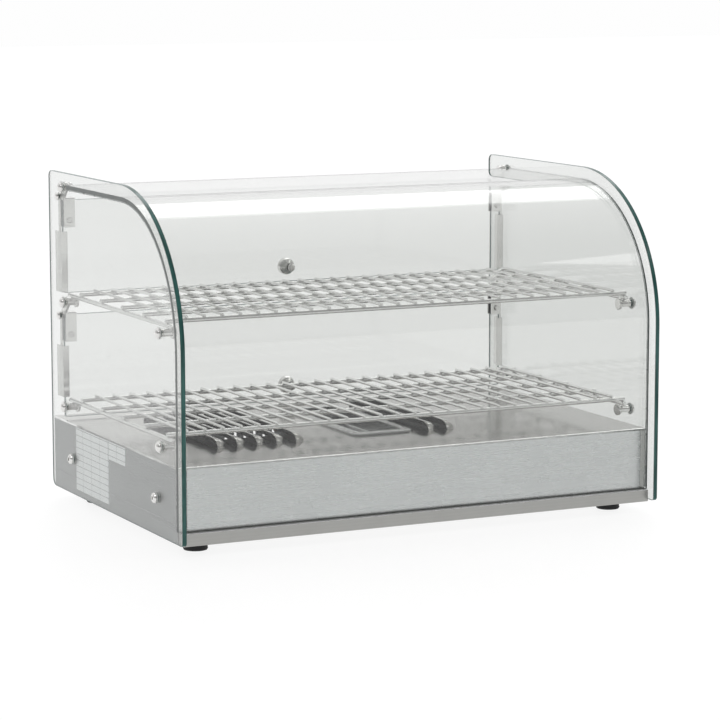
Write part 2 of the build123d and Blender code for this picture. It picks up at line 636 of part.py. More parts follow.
# ---- Controls ----
def thermostat_body():
    """Capillary thermostat with a threaded bush through the rear panel."""
    h = CONTROL_HEIGHT
    body = block(KNOB_X - 18, KNOB_X + 18, 342, BODY_BACK, h - 16, h + 16)
    body = fillet(body.edges().filter_by(Axis.Y), 2.0)
    body += rod((KNOB_X, BODY_BACK, h), (KNOB_X, 382.6, h), 10.0)
    for x in (-10, 10):
        body += block(KNOB_X + x - 0.4, KNOB_X + x + 0.4, 334, 342, h - 3, h + 3)
    return body - rod((KNOB_X, 352, h), (KNOB_X, 384, h), 6.16)


def thermostat_shaft():
    """Round shaft that the knob turns."""
    h = CONTROL_HEIGHT
    return rod((KNOB_X, 356, h), (KNOB_X, 394, h), 6.0)


def thermostat_knob():
    """Round knob with a raised grip bar, hollow behind for the nut."""
    h = CONTROL_HEIGHT
    profile = [(0, 2.4), (20.0, 2.4), (20.0, 5.0), (18.4, 10.0), (17.4, 10.8), (0, 10.8)]
    base = turned(profile, (KNOB_X, BASE_REAR, h), (0, 1, 0))
    grip = Pos(KNOB_X, 0, h) * block(-4.2, 4.2, BASE_REAR + 9, BASE_REAR + 21, -17.2, 17.2)
    grip = fillet(grip.edges().filter_by(Axis.Y), 3.0)
    grip = fillet(grip.edges().filter_by_position(Axis.Y, BASE_REAR + 20.9, BASE_REAR + 21.1), 1.4)
    knob = base + grip
    knob -= rod((KNOB_X, BASE_REAR, h), (KNOB_X, BASE_REAR + 7, h), 22.0)
    return knob - rod((KNOB_X, BASE_REAR, h), (KNOB_X, 394, h), 6.0)


def dial_plate():
    """Thin round scale plate behind the knob."""
    h = CONTROL_HEIGHT
    return ring((KNOB_X, BASE_REAR, h), (KNOB_X, BASE_REAR + 0.8, h), 62.0, 10.0)


def rocker_housing():
    """Switch body with a bezel around the rocker's opening."""
    h = CONTROL_HEIGHT
    body = block(ROCKER_X - 6.5, ROCKER_X + 6.5, 362, BASE_REAR, h - 9.5, h + 9.5)
    bezel = block(ROCKER_X - 7.6, ROCKER_X + 7.6, BASE_REAR, BASE_REAR + 1.8, h - 11.2, h + 11.2)
    bezel = fillet(bezel.edges().filter_by(Axis.Y), 1.2)
    body += bezel
    body -= block(ROCKER_X - 5.3, ROCKER_X + 5.3, 368, BASE_REAR + 3, h - 8.9, h + 8.9)
    for x in (-3.5, 0, 3.5):
        body += block(ROCKER_X + x - 0.4, ROCKER_X + x + 0.4, 354, 362, h - 2.4, h + 2.4)
    return body


def rocker():
    """Rocker on a cross pin, shown tipped to off."""
    h = CONTROL_HEIGHT
    pivot_d = BASE_REAR - 1.0
    drum = Cylinder(8.3, 10.0, rotation=(0, 90, 0))
    front_cut = Pos(0, -8.0, 0) * Box(12, 10, 20)
    paddle = drum - front_cut
    for sign in SIDES:
        wedge = Rot(sign * 9.0, 0, 0) * (Pos(0, 8.2, sign * 5.0) * Box(12, 8, 10))
        paddle -= wedge
    paddle = Rot(-ROCKER_TILT, 0, 0) * paddle
    return Pos(ROCKER_X, pivot_d, h) * paddle


def lamp_body():
    """Threaded body of the indicator lamp with its bright rim."""
    h = CONTROL_HEIGHT
    body = rod((LAMP_X, 356, h), (LAMP_X, BASE_REAR, h), 9.0)
    body += rod((LAMP_X, BASE_REAR, h), (LAMP_X, BASE_REAR + 1.6, h), 13.0, 0.4)
    return body - rod((LAMP_X, BASE_REAR - 2, h), (LAMP_X, BASE_REAR + 2, h), 8.0)


def lamp_lens():
    """Domed lens seated in the lamp's rim."""
    profile = [(0, -2.0), (4.0, -2.0), (4.0, 1.6), (3.7, 2.8), (2.9, 3.8), (1.6, 4.4), (0, 4.6)]
    return turned(profile, (LAMP_X, BASE_REAR, CONTROL_HEIGHT), (0, 1, 0))


def gland_body():
    """Cable gland through the rear panel, bored for the mains cord."""
    h = CONTROL_HEIGHT
    body = rod((GLAND_X, 366, h), (GLAND_X, BASE_REAR, h), 16.0)
    flange = Plane(origin=(GLAND_X, BASE_REAR, h), z_dir=(0, 1, 0)) * extrude(
        RegularPolygon(11.0, 6, major_radius=False), 4.0)
    body += flange + rod((GLAND_X, BASE_REAR + 4, h), (GLAND_X, BASE_REAR + 9, h), 15.0)
    return body - rod((GLAND_X, 365, h), (GLAND_X, BASE_REAR + 10, h), GLAND_BORE)


def gland_cap():
    """Domed cap nut that grips the cord."""
    h = CONTROL_HEIGHT
    profile = [(7.5, 4.5), (10.0, 4.5), (10.0, 11.0), (8.6, 15.0), (6.6, 17.4), (GLAND_BORE / 2, 17.4),
               (GLAND_BORE / 2, 9.0), (7.5, 9.0)]
    cap = turned(profile, (GLAND_X, BASE_REAR, h), (0, 1, 0))
    for i in range(8):
        angle = math.radians(i * 45)
        x = GLAND_X + 10.6 * math.cos(angle)
        z = h + 10.6 * math.sin(angle)
        cap -= rod((x, BASE_REAR + 4, z), (x, BASE_REAR + 12, z), 3.4)
    return cap


def terminal_block():
    """Three-way terminal block on the bottom tray."""
    block_body = block(185, 225, 285, 303, 6, 20)
    for x in (192, 205, 218):
        block_body -= rod((x, 294, 14), (x, 294, 21), 5.0)
        block_body -= rod((x, 284, 11), (x, 304, 11), 4.2)
    block_body += block(180, 230, 288, 300, TRAY_TOP, 6)
    return block_body


def terminal_screws():
    """Clamping screws in the terminal block."""
    return [rod((x, 294, 14), (x, 294, 17.5), 4.4) for x in (192, 205, 218)]


def earth_stud():
    """Stud with a hexagon nut on the bottom tray."""
    x, d = EARTH_PLACE
    stud = rod((x, d, BASE_BOTTOM), (x, d, 12), 4.0)
    return stud + hex_nut((x, d, TRAY_TOP), (0, 0, 1), 7.0, 3.2, 3.9)


def capillary():
    """Sensing bulb behind the heater, and its fine tube to the thermostat."""
    bulb = rod((-BULB_HALF, BULB_DEPTH, BULB_HEIGHT), (BULB_HALF, BULB_DEPTH, BULB_HEIGHT), BULB_DIAMETER, 1.0)
    path = FilletPolyline(
        (BULB_HALF - 2, BULB_DEPTH, BULB_HEIGHT), (DIVIDER_X + 15, BULB_DEPTH, BULB_HEIGHT),
        (KNOB_X, BULB_DEPTH + 8, CONTROL_HEIGHT), (KNOB_X, 342, CONTROL_HEIGHT), radius=8.0)
    return bulb + sweep(Plane(origin=path @ 0, z_dir=path % 0) * Circle(1.0), path=path)


def wire(points, radius):
    """One insulated wire along rounded runs."""
    path = FilletPolyline(*points, radius=radius)
    return sweep(Plane(origin=path @ 0, z_dir=path % 0) * Circle(1.2), path=path)


def supply_wires():
    """Loose wires in the electrics bay: gland to block, block to switch, switch to heater."""
    h = CONTROL_HEIGHT
    end = DIVIDER_X + 32
    return [
        wire([(GLAND_X, 364, h), (GLAND_X, 330, h), (218, 318, 11), (218, 304, 11)], 7.0),
        wire([(205, 304, 11), (205, 326, 11), (ROCKER_X - 3.5, 340, h), (ROCKER_X - 3.5, 353.5, h)], 5.0),
        wire([(ROCKER_X + 3.5, 353.5, h), (ROCKER_X + 3.5, 344, h), (175, 326, 26), (KNOB_X + 10, 320, h),
              (KNOB_X + 10, 333.5, h)], 4.0),
        wire([(KNOB_X - 10, 333.5, h), (KNOB_X - 10, 290, h), (150, ELEMENT_LEGS[3], ELEMENT_HEIGHT),
              (end + 0.5, ELEMENT_LEGS[3], ELEMENT_HEIGHT)], 6.0),
        wire([(192, 284, 11), (192, 240, 11), (180, 140, 30), (160, ELEMENT_LEGS[0], ELEMENT_HEIGHT),
              (end + 0.5, ELEMENT_LEGS[0], ELEMENT_HEIGHT)], 9.0),
    ]


# ---- Labels ----
def label(d0, d1, h0, h1):
    """Thin blank plate on the left side panel."""
    return block(-BASE_HALF - 0.3, -BASE_HALF, d0, d1, h0, h1)


# ---- Write every part ----
def save_glass():
    save("side_glass_left", side_glass(-1))
    save("side_glass_right", side_glass(1))
    save("front_glass", front_glass())


def save_base():
    save("bottom_tray", bottom_tray())
    save("front_panel", front_panel())
    save("side_panel_left", side_panel(-1))
    save("side_panel_right", side_panel(1))
    save("rear_panel", rear_panel())
    save("deck_plate", deck_plate())
    save("water_pan", water_pan())
    save("side_labels", group([label(211, 310, 6, 75.5), label(161, 210, 56, 75.5)]))
    save("feet", group(foot(x, d) for x, d in foot_places()))
    save("foot_screws", group(foot_screw(x, d) for x, d in foot_places()))
    rear_screws = []
    for x, h in rear_screw_places():
        profile = [(0, -5), (2.0, -5), (2.0, 0), (4.0, 0), (3.8, 1.2), (2.4, 2.2), (0, 2.2)]
        rear_screws.append(turned(profile, (x, BASE_REAR, h), (0, 1, 0)))
    save("rear_screws", group(rear_screws))


def save_side_hardware():
    places = [(side, d, h) for side in SIDES for d, h in bolt_places()]
    save("domed_bolts", group(domed_bolt(*place) for place in places))
    washers = [soft_washer(*place, 12.6, 5.0, HALF, HALF + BOLT_WASHER) for place in places]
    save("bolt_washers", group(washers))
    shelf_places = [place for place in places if place[2] < TOP_PIN]
    save("shelf_pins", group(shelf_pin(*place, PIN_END, 13.0) for place in shelf_places))
    save("pivot_pins", group(shelf_pin(side, REAR_PIN, TOP_PIN, 265.0, 11.0) for side in SIDES))
    keepers = [keeper_screw(side, pivot) for side in SIDES for pivot in (TOP_PIN, UPPER_PIN)]
    save("keeper_screws", group(keepers))
    screw_places = [(side, d, h) for side in SIDES for d, h in SIDE_SCREWS]
    save("side_screws", group(base_screw(*place) for place in screw_places))
    rings = [soft_washer(*place, 12.0, 6.0, HALF, HALF + 1.0) for place in screw_places]
    rings += [soft_washer(*place, 12.0, 6.0, BASE_HALF, GLASS_INNER) for place in screw_places]
    save("side_washers", group(rings))
    inner_face = BASE_HALF - SHEET
    nuts = [hex_nut((side * inner_face, d, h), (-side, 0, 0), 10.0, 5.0, 6.0) for side, d, h in screw_places]
    save("side_nuts", group(nuts))
    for name, pivot, pin_below in (("upper", TOP_PIN, UPPER_PIN), ("lower", UPPER_PIN, LOWER_PIN)):
        save(name + "_angle_strips", group(angle_strip(side, pivot, pin_below) for side in SIDES))


def save_shelves():
    for name, pin_height in (("upper", UPPER_PIN), ("lower", LOWER_PIN)):
        save(name + "_shelf_grid", shelf_grid(pin_height))
        save(name + "_shelf_rails", group(shelf_rail(side, pin_height) for side in SIDES))


def save_flaps():
    for name, pivot, bottom in (("upper", TOP_PIN, UPPER_FLAP_BOTTOM), ("lower", UPPER_PIN, LOWER_FLAP_BOTTOM)):
        save(name + "_flap_glass", flap_glass(pivot, bottom))
        save(name + "_flap_clamps", group(flap_clamp(side, pivot) for side in SIDES))
        save(name + "_flap_pads", group(pad for side in SIDES for pad in clamp_pads(side, pivot)))
        save(name + "_clamp_screws", group(clamp_screw(side, pivot) for side in SIDES))
        save(name + "_flap_handle", flap_handle(pivot, bottom))
        save(name + "_handle_screw", handle_screw(pivot, bottom))


def save_electrics():
    save("heating_element", heating_element())
    save("element_brackets", group(element_bracket(x) for x in (-180, 20)))
    save("heat_shield", heat_shield())
    save("bay_divider", bay_divider())
    save("thermostat_body", thermostat_body())
    save("thermostat_shaft", thermostat_shaft())
    save("thermostat_knob", thermostat_knob())
    save("dial_plate", dial_plate())
    save("rocker_housing", rocker_housing())
    save("rocker", rocker())
    save("lamp_body", lamp_body())
    save("lamp_lens", lamp_lens())
    save("gland_body", gland_body())
    save("gland_cap", gland_cap())
    save("terminal_block", terminal_block())
    save("terminal_screws", group(terminal_screws()))
    save("earth_stud", earth_stud())
    save("capillary", capillary())
    save("supply_wires", group(supply_wires()))


os.makedirs("parts", exist_ok=True)
save_glass()
save_base()
save_side_hardware()
save_shelves()
save_flaps()
save_electrics()
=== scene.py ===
import math

import bmesh
import bpy
from mathutils import Matrix, Vector


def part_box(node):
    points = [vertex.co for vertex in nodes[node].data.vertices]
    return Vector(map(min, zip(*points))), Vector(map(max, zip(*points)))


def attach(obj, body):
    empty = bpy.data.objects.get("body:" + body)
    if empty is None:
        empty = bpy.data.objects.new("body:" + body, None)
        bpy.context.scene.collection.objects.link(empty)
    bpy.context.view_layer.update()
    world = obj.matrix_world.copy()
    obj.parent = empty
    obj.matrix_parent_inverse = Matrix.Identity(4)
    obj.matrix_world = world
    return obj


# Looks for the hot food display case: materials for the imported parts, a few small visual pieces
# (weld beads, sealant, dial marks, knob pointer), a pale floor, soft lights and the camera.

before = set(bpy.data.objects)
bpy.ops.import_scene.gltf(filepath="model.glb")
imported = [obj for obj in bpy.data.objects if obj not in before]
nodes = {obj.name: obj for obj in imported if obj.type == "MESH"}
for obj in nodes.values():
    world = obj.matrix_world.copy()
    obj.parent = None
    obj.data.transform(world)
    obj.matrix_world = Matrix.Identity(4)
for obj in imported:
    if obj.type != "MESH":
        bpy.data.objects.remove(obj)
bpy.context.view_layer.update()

# ---- Camera ----
CAMERA_AZIMUTH = -26.02
CAMERA_ELEVATION = 8.31
CAMERA_PLACE = (-1.3402, -2.7792, 0.6110)
CAMERA_LENS = 141.1
CAMERA_SENSOR = 36.0

# ---- Studio ----
FLOOR_GLOW = 0.87
WORLD_BEHIND = 0.99
WORLD_BEFORE = 0.42
WORLD_LEFT = 0.62
WORLD_ABOVE = 1.15

# ---- Shelves, as the case's design sets them out ----
WIRES = 26
CROSS_RODS = 5
WIRE_PITCH = 0.02015
WIRE_RADIUS = 0.0015
ROD_RADIUS = 0.0025
BEAD_OUT = 0.0012              # from a wire's centre to a weld bead's
BEAD_SIZE = (0.0011, 0.0019, 0.0009)

# ---- Glass and sheet metal, as the case's design sets them out ----
GLASS = 0.005
FRONT_BEND = 0.150             # outside radius of the bent pane
SEALANT_RADIUS = 0.0009
LOUVRE_DEPTH = 0.0092          # from the top of a louvre down through the deck's sheet
HEM = 0.0024                   # height of the deck's turned edge
LEDGE_BEND = 0.0014            # part of the ledge's face that rounds over at its top
STAND_OFF = 0.00006            # gap drawn between the glass and what lies on it

# ---- Dial: off at the top, turned up clockwise as the operator sees it ----
DIAL_STEP = 45.0
DIAL_NUMBERS = ["0", "1", "2", "3", "4", "5", "6"]
DIAL_INK = 0.00004             # height of the middle of the ink over the plate
MARK_START = 0.0208
LONG_MARK = 0.0024
SHORT_MARK = 0.0014
MARK_WIDTH = 0.0006
NUMBER_RADIUS = 0.0272
NUMBER_SIZE = 0.0058


# ---- Node trees ----
class Shader:
    """A material under construction."""

    def __init__(self, name):
        self.material = bpy.data.materials.new(name)
        self.material.use_nodes = True
        self.tree = self.material.node_tree
        self.tree.nodes.clear()
        self.output = self.tree.nodes.new("ShaderNodeOutputMaterial")
        self.coords = self.tree.nodes.new("ShaderNodeTexCoord")

    def add(self, kind, settings=None, inputs=None):
        """A node of this kind, with its settings and its inputs by name or number."""
        node = self.tree.nodes.new("ShaderNode" + kind)
        for key, value in (settings or {}).items():
            setattr(node, key, value)
        for key, value in (inputs or {}).items():
            if isinstance(value, bpy.types.NodeSocket):
                self.tree.links.new(value, node.inputs[key])
            else:
                node.inputs[key].default_value = value
        return node

    def math(self, operation, a, b=0.0, clamp=False):
        node = self.add("Math", {"operation": operation, "use_clamp": clamp}, {0: a, 1: b})
        return node.outputs[0]

    def spread(self, value, low, high, to_low=0.0, to_high=1.0, smooth=False):
        """A value carried from one range to another, held at both ends."""
        kind = "SMOOTHSTEP" if smooth else "LINEAR"
        node = self.add("MapRange", {"interpolation_type": kind, "clamp": True},
                        {0: value, 1: low, 2: high, 3: to_low, 4: to_high})
        return node.outputs[0]

    def mix(self, factor, a, b):
        node = self.add("Mix", {"data_type": "RGBA"}, {0: factor, 6: a, 7: b})
        return node.outputs[2]

    def noise(self, scale, detail=3.0, stretch=(1.0, 1.0, 1.0), roughness=0.55,
              offset=(0.0, 0.0, 0.0)):
        """Noise of about 0 to 1, at so many features to the metre, drawn out along an axis."""
        mapping = self.add("Mapping", None, {"Vector": self.coords.outputs["Object"],
                                             "Scale": stretch, "Location": offset})
        node = self.add("TexNoise", None, {"Vector": mapping.outputs[0], "Scale": scale,
                                           "Detail": detail, "Roughness": roughness})
        return node.outputs["Fac"]

    def axis(self, source, letter):
        split = self.add("SeparateXYZ", None, {0: self.coords.outputs[source]})
        return split.outputs[letter]

    def bevel(self, radius):
        node = self.add("Bevel", {"samples": 4}, {"Radius": radius})
        return node.outputs[0]

    def edge_mask(self, bevelled):
        """About 1 on sharp edges and 0 on flat faces."""
        flat = self.add("NewGeometry").outputs["Normal"]
        dot = self.add("VectorMath", {"operation": "DOT_PRODUCT"}, {0: bevelled, 1: flat})
        return self.spread(dot.outputs["Value"], 0.80, 0.995, 1.0, 0.0)

    def bump(self, height, strength, distance, normal=None):
        inputs = {"Height": height, "Strength": strength, "Distance": distance}
        if normal is not None:
            inputs["Normal"] = normal
        return self.add("Bump", None, inputs).outputs[0]

    def principled(self, inputs):
        return self.add("BsdfPrincipled", None, inputs).outputs[0]

    def finish(self, surface):
        self.tree.links.new(surface, self.output.inputs["Surface"])
        return self.material


def grey(level):
    return (level, level, level, 1.0)


def opaque(colour, factor=1.0):
    """The colour, times a factor, with full alpha."""
    return [min(1.0, c * factor) for c in colour] + [1.0]


ROLL = 2.6                     # how far a turned edge's shading leans upwards
STRETCH = {"X": (0.0003, 1.0, 1.0), "Y": (1.0, 0.0003, 1.0), "Z": (1.0, 1.0, 0.0003)}


def brushed_metal(name, colour, roughness, along="X", lines=0.10, smudge=0.05, edge=0.35,
                  radius=0.0005, patch=None, turned=None):
    """Brushed stainless: long fine lines, faint handling marks, brighter worn edges.

    patch may be a mask and the colour that the metal takes there. turned may be a mask of a
    turned edge, which is rounded over and painted near-white as a painted highlight. Where edge
    is high, the brighter edges are a painted highlight as well as wear.
    """
    s = Shader(name)
    fine = s.noise(1500.0, 2.0, STRETCH[along], 0.6)
    broad = s.noise(420.0, 2.0, STRETCH[along], 0.5, (0.3, 0.1, 0.7))
    cloud = s.noise(9.0, 4.0)
    marks = s.noise(38.0, 2.0, offset=(1.7, 0.4, 0.9))
    streaks = s.math("ADD", s.math("MULTIPLY", fine, 0.5), s.math("MULTIPLY", broad, 0.5))
    rounded = s.bevel(radius)
    worn = s.edge_mask(rounded)
    if turned is not None:
        rolled_and_highlit = turned(s)
        lean = s.add("CombineXYZ", None, {2: s.math("MULTIPLY", rolled_and_highlit, ROLL)}).outputs[0]
        leaning = s.add("VectorMath", {"operation": "ADD"}, {0: rounded, 1: lean}).outputs[0]
        rounded = s.add("VectorMath", {"operation": "NORMALIZE"}, {0: leaning}).outputs[0]
        # painted highlight: the turned edge joins the whitened edges
        worn = s.math("MAXIMUM", worn, rolled_and_highlit)
    tint = s.mix(s.spread(streaks, 0.30, 0.70), opaque(colour, 0.92), opaque(colour, 1.07))
    handled = s.math("MULTIPLY", s.spread(cloud, 0.40, 0.75), 0.18)
    tint = s.mix(handled, tint, opaque(colour, 0.80))
    # Edges are whitened: wear on most metals, and a painted highlight on the deck and tray (edge at
    # 1.0, turned edges).
    tint = s.mix(s.math("MULTIPLY", worn, edge), tint, grey(0.95))
    if patch is not None:
        mask, other = patch
        tint = s.mix(mask(s), tint, other)
    rough = s.math("ADD", s.spread(streaks, 0.30, 0.70, roughness - lines, roughness + lines),
                   s.spread(marks, 0.45, 0.75, 0.0, smudge))
    rough = s.math("SUBTRACT", rough, s.math("MULTIPLY", worn, 0.08), clamp=True)
    normal = s.bump(streaks, 0.04, 0.00006, rounded)
    return s.finish(s.principled({"Base Color": tint, "Metallic": 1.0, "Roughness": rough,
                                  "Normal": normal}))


def polished_metal(name, colour, roughness, dirt=0.12, radius=0.0004):
    """Turned or pressed bright metal with faint polishing lines and dulled patches."""
    s = Shader(name)
    cloud = s.noise(60.0, 4.0)
    fine = s.noise(1400.0, 2.0)
    rounded = s.bevel(radius)
    worn = s.edge_mask(rounded)
    dulled = s.math("MULTIPLY", s.spread(cloud, 0.45, 0.75), dirt)
    tint = s.mix(dulled, opaque(colour), opaque(colour, 0.62))
    tint = s.mix(s.math("MULTIPLY", worn, 0.3), tint, grey(0.97))
    rough = s.math("ADD", s.spread(cloud, 0.35, 0.75, roughness * 0.7, roughness * 1.7),
                   s.spread(fine, 0.4, 0.7, 0.0, 0.03))
    normal = s.bump(fine, 0.06, 0.00004, rounded)
    return s.finish(s.principled({"Base Color": tint, "Metallic": 1.0, "Roughness": rough,
                                  "Normal": normal}))


def plastic(name, colour, roughness, grain=900.0, grain_depth=0.00006, edge=0.25, coat=0.0):
    """Moulded plastic or rubber with a fine grain, lighter rubbed edges and a little dust."""
    s = Shader(name)
    fine = s.noise(grain, 3.0)
    cloud = s.noise(45.0, 4.0)
    up = s.spread(s.axis("Normal", "Z"), 0.3, 1.0)
    rounded = s.bevel(0.0004)
    worn = s.edge_mask(rounded)
    dusty = s.math("MULTIPLY", s.math("MULTIPLY", up, s.spread(cloud, 0.35, 0.75)), 0.12)
    tint = s.mix(s.spread(cloud, 0.3, 0.7), opaque(colour, 0.82), opaque(colour, 1.18))
    rubbed = [min(1.0, c * 1.8 + 0.04) for c in colour] + [1.0]
    tint = s.mix(s.math("MULTIPLY", worn, edge), tint, rubbed)
    tint = s.mix(dusty, tint, (0.42, 0.40, 0.37, 1.0))
    rough = s.spread(s.math("ADD", s.math("MULTIPLY", fine, 0.5), s.math("MULTIPLY", cloud, 0.5)),
                     0.3, 0.7, roughness - 0.10, roughness + 0.12)
    normal = s.bump(fine, 0.35, grain_depth, rounded)
    return s.finish(s.principled({"Base Color": tint, "Roughness": rough, "Normal": normal,
                                  "Coat Weight": coat, "Coat Roughness": 0.12}))


def glass(name, edge_value, body, dark, light, patches=()):
    """Clear float glass: see-through broad faces, deep green ground edges with paler arrises.

    edge_value builds a value that is 1 on the broad faces, about 0.7 on the arrises and 0 on
    the cut edges. patches are masks of cut edges and the colours that they take instead.
    """
    s = Shader(name)
    facing = edge_value(s)
    cut = s.spread(facing, 0.55, 0.60, 1.0, 0.0)
    arris = s.math("MULTIPLY", s.spread(facing, 0.55, 0.60), s.spread(facing, 0.85, 0.92, 1.0, 0.0))
    haze = s.noise(14.0, 5.0)
    film = s.noise(3.0, 2.0, offset=(0.2, 0.7, 0.1))
    fine = s.noise(900.0, 2.0)
    body_rough = s.math("MULTIPLY", s.spread(haze, 0.50, 0.80), 0.012)
    clear = s.principled({"Base Color": body, "Roughness": body_rough,
                          "IOR": 1.50, "Transmission Weight": 1.0,
                          "Normal": s.bump(film, 0.02, 0.0002)})
    streak = s.noise(240.0, 3.0, (1.0, 0.15, 0.15))
    deep = s.mix(s.spread(streak, 0.35, 0.70), dark, light)
    for mask, colour in patches:
        deep = s.mix(mask(s), deep, colour)
    edge = s.principled({"Base Color": deep, "Roughness": s.spread(fine, 0.3, 0.7, 0.10, 0.28),
                         "IOR": 1.50, "Specular IOR Level": 0.35,
                         "Normal": s.bump(fine, 0.2, 0.00004)})
    pale = s.mix(s.spread(fine, 0.3, 0.7), (0.10, 0.15, 0.14, 1.0), (0.20, 0.27, 0.255, 1.0))
    ground = s.principled({"Base Color": pale, "Roughness": s.spread(fine, 0.3, 0.7, 0.30, 0.55),
                           "Normal": s.bump(fine, 0.4, 0.00004)})
    rim = s.add("MixShader", None, {0: arris, 1: edge, 2: ground}).outputs[0]
    rimmed = s.math("MAXIMUM", cut, arris)
    solid = s.add("MixShader", None, {0: rimmed, 1: clear, 2: rim}).outputs[0]
    open_to_lamps = s.add("BsdfTransparent", None, {"Color": (0.93, 0.94, 0.93, 1.0)}).outputs[0]
    shadow = s.add("LightPath").outputs["Is Shadow Ray"]
    return s.finish(s.add("MixShader", None, {0: shadow, 1: solid, 2: open_to_lamps}).outputs[0])


def side_edges(s):
    return s.math("ABSOLUTE", s.axis("Normal", "X"))


def flap_edges(s):
    return s.math("ABSOLUTE", s.axis("Normal", "Y"))


def front_edges(s):
    """The bent pane: its ends, its foot on the ledge and its upper rear edge are cut edges."""
    low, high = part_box("front_glass")
    across = s.math("ABSOLUTE", s.axis("Normal", "X"))
    upright = s.math("ABSOLUTE", s.axis("Normal", "Z"))
    deep = s.math("ABSOLUTE", s.axis("Normal", "Y"))
    foot = s.math("MULTIPLY", s.math("GREATER_THAN", upright, 0.9),
                  s.math("LESS_THAN", s.axis("Object", "Z"), low.z + 0.0005))
    rear = s.math("MULTIPLY", s.math("GREATER_THAN", deep, 0.9),
                  s.math("GREATER_THAN", s.axis("Object", "Y"), high.y - 0.0005))
    cut = s.math("MAXIMUM", across, s.math("MAXIMUM", foot, rear))
    return s.math("SUBTRACT", 1.0, cut)


def rear_cut_shade(s):
    """The bent pane's upper rear edge, which is seen against the light."""
    # This edge is painted near-black: painted shade where it stands against the light.
    return s.spread(s.math("ABSOLUTE", s.axis("Normal", "Y")), 0.4, 0.6)


def foot_cut_lit(s):
    """The bent pane's foot, which takes the colour of the ledge."""
    # The foot is painted pale, like the lit ledge under it: a painted highlight.
    return s.spread(s.math("ABSOLUTE", s.axis("Normal", "Z")), 0.4, 0.6)


def front_flanges_lit(s):
    """Faces of the side panels that look straight forwards."""
    # Painted light: these forward faces are painted lighter than the side panels' painted-shade
    # sides.
    return s.spread(s.axis("Normal", "Y"), -0.9, -0.7, 1.0, 0.0)


def deck_hem_highlight(s):
    """The deck's turned edge, which hangs down around it."""
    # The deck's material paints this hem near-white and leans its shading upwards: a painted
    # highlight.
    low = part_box("deck_plate")[0]
    hanging = s.math("LESS_THAN", s.axis("Object", "Z"), low.z + HEM)
    level = s.math("ABSOLUTE", s.axis("Normal", "Z"))
    return s.math("MULTIPLY", hanging, s.spread(level, 0.7, 0.95, 1.0, 0.0))


def ledge_bend_highlight(s):
    """The upper front bend of the tray's ledge."""
    # The tray's material rounds this bend over and paints it near-white: a painted highlight.
    low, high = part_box("bottom_tray")
    upper = s.math("GREATER_THAN", s.axis("Object", "Z"), high.z - LEDGE_BEND)
    front = s.math("LESS_THAN", s.axis("Object", "Y"), low.y + 0.0012)
    return s.math("MULTIPLY", upper, front)


def shaded_louvre_mouths(s):
    """Inner faces of the raised louvres, which look down and to the left."""
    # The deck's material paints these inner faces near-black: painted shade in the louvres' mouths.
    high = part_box("deck_plate")[1].z
    raised = s.math("GREATER_THAN", s.axis("Object", "Z"), high - LOUVRE_DEPTH)
    inward = s.math("ADD", s.axis("Normal", "X"), s.axis("Normal", "Z"))
    return s.math("MULTIPLY", raised, s.spread(inward, -0.25, -0.05, 1.0, 0.0))


def label_material():
    """Blank silver plate with a thin printed frame and table rules, and no lettering."""
    s = Shader("label_foil")
    low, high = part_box("side_labels")
    where = s.add("CombineXYZ", None, {
        0: s.math("SUBTRACT", s.axis("Object", "Y"), low.y),
        1: s.math("SUBTRACT", s.axis("Object", "Z"), low.z)}).outputs[0]
    table = s.add("TexBrick", {"offset": 0.0, "squash": 1.0}, {
        "Vector": where, "Scale": 1.0, "Mortar Size": 0.00035, "Mortar Smooth": 0.1,
        "Brick Width": 0.0255, "Row Height": 0.0068})
    cloud = s.noise(40.0, 3.0)
    paper = s.mix(s.spread(cloud, 0.3, 0.7), (0.93, 0.96, 0.97, 1.0), (0.97, 0.99, 1.0, 1.0))
    ink = s.math("MULTIPLY", table.outputs["Fac"], 0.85)
    tint = s.mix(ink, paper, (0.10, 0.11, 0.12, 1.0))
    rounded = s.bevel(0.0001)
    return s.finish(s.principled({
        "Base Color": tint, "Metallic": 0.6, "Roughness": s.spread(cloud, 0.3, 0.7, 0.30, 0.42),
        "Normal": s.bump(s.noise(700.0, 2.0), 0.05, 0.00003, rounded)}))


def lamp_material():
    s = Shader("amber_lens")
    ribs = s.add("TexWave", {"bands_direction": "X"},
                 {"Vector": s.coords.outputs["Object"], "Scale": 260.0})
    tint = s.mix(ribs.outputs["Fac"], (0.85, 0.30, 0.03, 1.0), (0.95, 0.48, 0.10, 1.0))
    normal = s.bump(ribs.outputs["Fac"], 0.3, 0.0002)
    return s.finish(s.principled({
        "Base Color": tint, "Roughness": s.spread(s.noise(300.0), 0.3, 0.7, 0.10, 0.22),
        "IOR": 1.49, "Transmission Weight": 0.35, "Coat Weight": 0.5, "Normal": normal}))


def sealant_material():
    s = Shader("clear_sealant")
    cloud = s.noise(60.0, 3.0)
    tint = s.mix(s.spread(cloud, 0.3, 0.7), (0.70, 0.74, 0.73, 1.0), (0.84, 0.87, 0.86, 1.0))
    return s.finish(s.principled({
        "Base Color": tint, "Roughness": s.spread(cloud, 0.3, 0.7, 0.22, 0.36), "IOR": 1.41,
        "Transmission Weight": 0.6, "Normal": s.bump(cloud, 0.2, 0.0002)}))


def floor_material():
    s = Shader("studio_floor")
    cloud = s.noise(3.0, 3.0)
    tint = s.mix(s.spread(cloud, 0.3, 0.7), grey(0.11), grey(0.12))
    return s.finish(s.principled({"Base Color": tint, "Roughness": 0.6, "Specular IOR Level": 0.15,
                                  "Emission Color": grey(1.0), "Emission Strength": FLOOR_GLOW}))


# ---- Assigning materials ----
def give(material, *names):
    """Every slot of these parts gets the material."""
    for name in names:
        mesh = nodes[name].data
        if not mesh.materials:
            mesh.materials.append(material)
        for i in range(len(mesh.materials)):
            mesh.materials[i] = material


